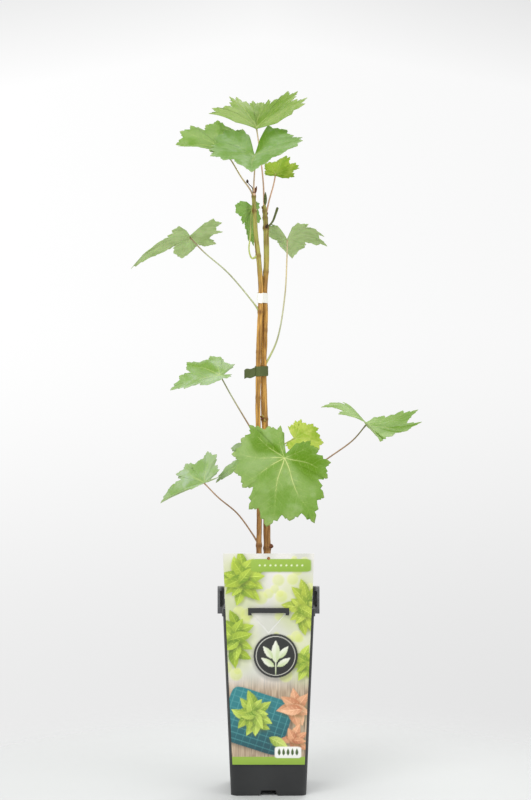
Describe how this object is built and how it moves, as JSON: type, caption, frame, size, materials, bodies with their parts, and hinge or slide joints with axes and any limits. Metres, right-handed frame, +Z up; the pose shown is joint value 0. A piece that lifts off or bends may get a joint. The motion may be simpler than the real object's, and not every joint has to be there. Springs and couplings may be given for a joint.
{
  "type": "potted grapevine",
  "caption": "Young potted grapevine: slim twisted woody canes tied together, lobed toothed leaves on long stalks, tall square nursery pot with a printed plant card.",
  "frame": {"origin": "centre of the pot's flat underside, where it stands on the ground", "axes": "+Z up along the plant, -Y towards the front with the plant card, +X towards the right as seen from the front"},
  "size_m": [0.3331, 0.1683, 0.8139],
  "materials": {
    "pot_plastic": "black moulded plastic with a soft sheen",
    "compost": "damp brown crumbly compost",
    "card": "glossy printed card, cream with green and warm bands",
    "old_bark": "grey-brown flaking bark",
    "cane_bark": "tan ridged bark turning to brown and green near the tips",
    "leaf_stalk": "thin smooth stalk, reddish to yellow-green",
    "leaf": "soft fresh green leaf with pale veins",
    "young_leaf": "young yellow-green leaf",
    "white_tape": "white plastic tying tape",
    "green_tape": "dull green tying tape"
  },
  "bodies": {
    "root": {"pot_body": "pot_plastic", "potting_soil": "compost", "plant_card": "card", "trunk_foot": "old_bark", "cane_left": "cane_bark", "cane_right": "cane_bark", "tie_white": "white_tape", "tie_green": "green_tape", "stalk_top": "leaf_stalk", "leaf_top": "leaf", "stalk_upper_front": "leaf_stalk", "leaf_upper_front": "leaf", "stalk_upper_left": "leaf_stalk", "leaf_upper_left": "leaf", "stalk_small_right": "leaf_stalk", "leaf_small_right": "leaf", "stalk_left_high": "leaf_stalk", "leaf_left_high": "leaf", "stalk_behind_canes": "leaf_stalk", "leaf_behind_canes": "leaf", "stalk_right_high": "leaf_stalk", "leaf_right_high": "leaf", "stalk_left_mid": "leaf_stalk", "leaf_left_mid": "leaf", "stalk_right_mid": "leaf_stalk", "leaf_right_mid": "leaf", "stalk_front_large": "leaf_stalk", "leaf_front_large": "leaf", "stalk_left_low": "leaf_stalk", "leaf_left_low": "leaf", "stalk_young_back": "leaf_stalk", "leaf_young_back": "young_leaf", "stalk_back_left": "leaf_stalk", "leaf_back_left": "leaf"}
  },
  "joints": []
}
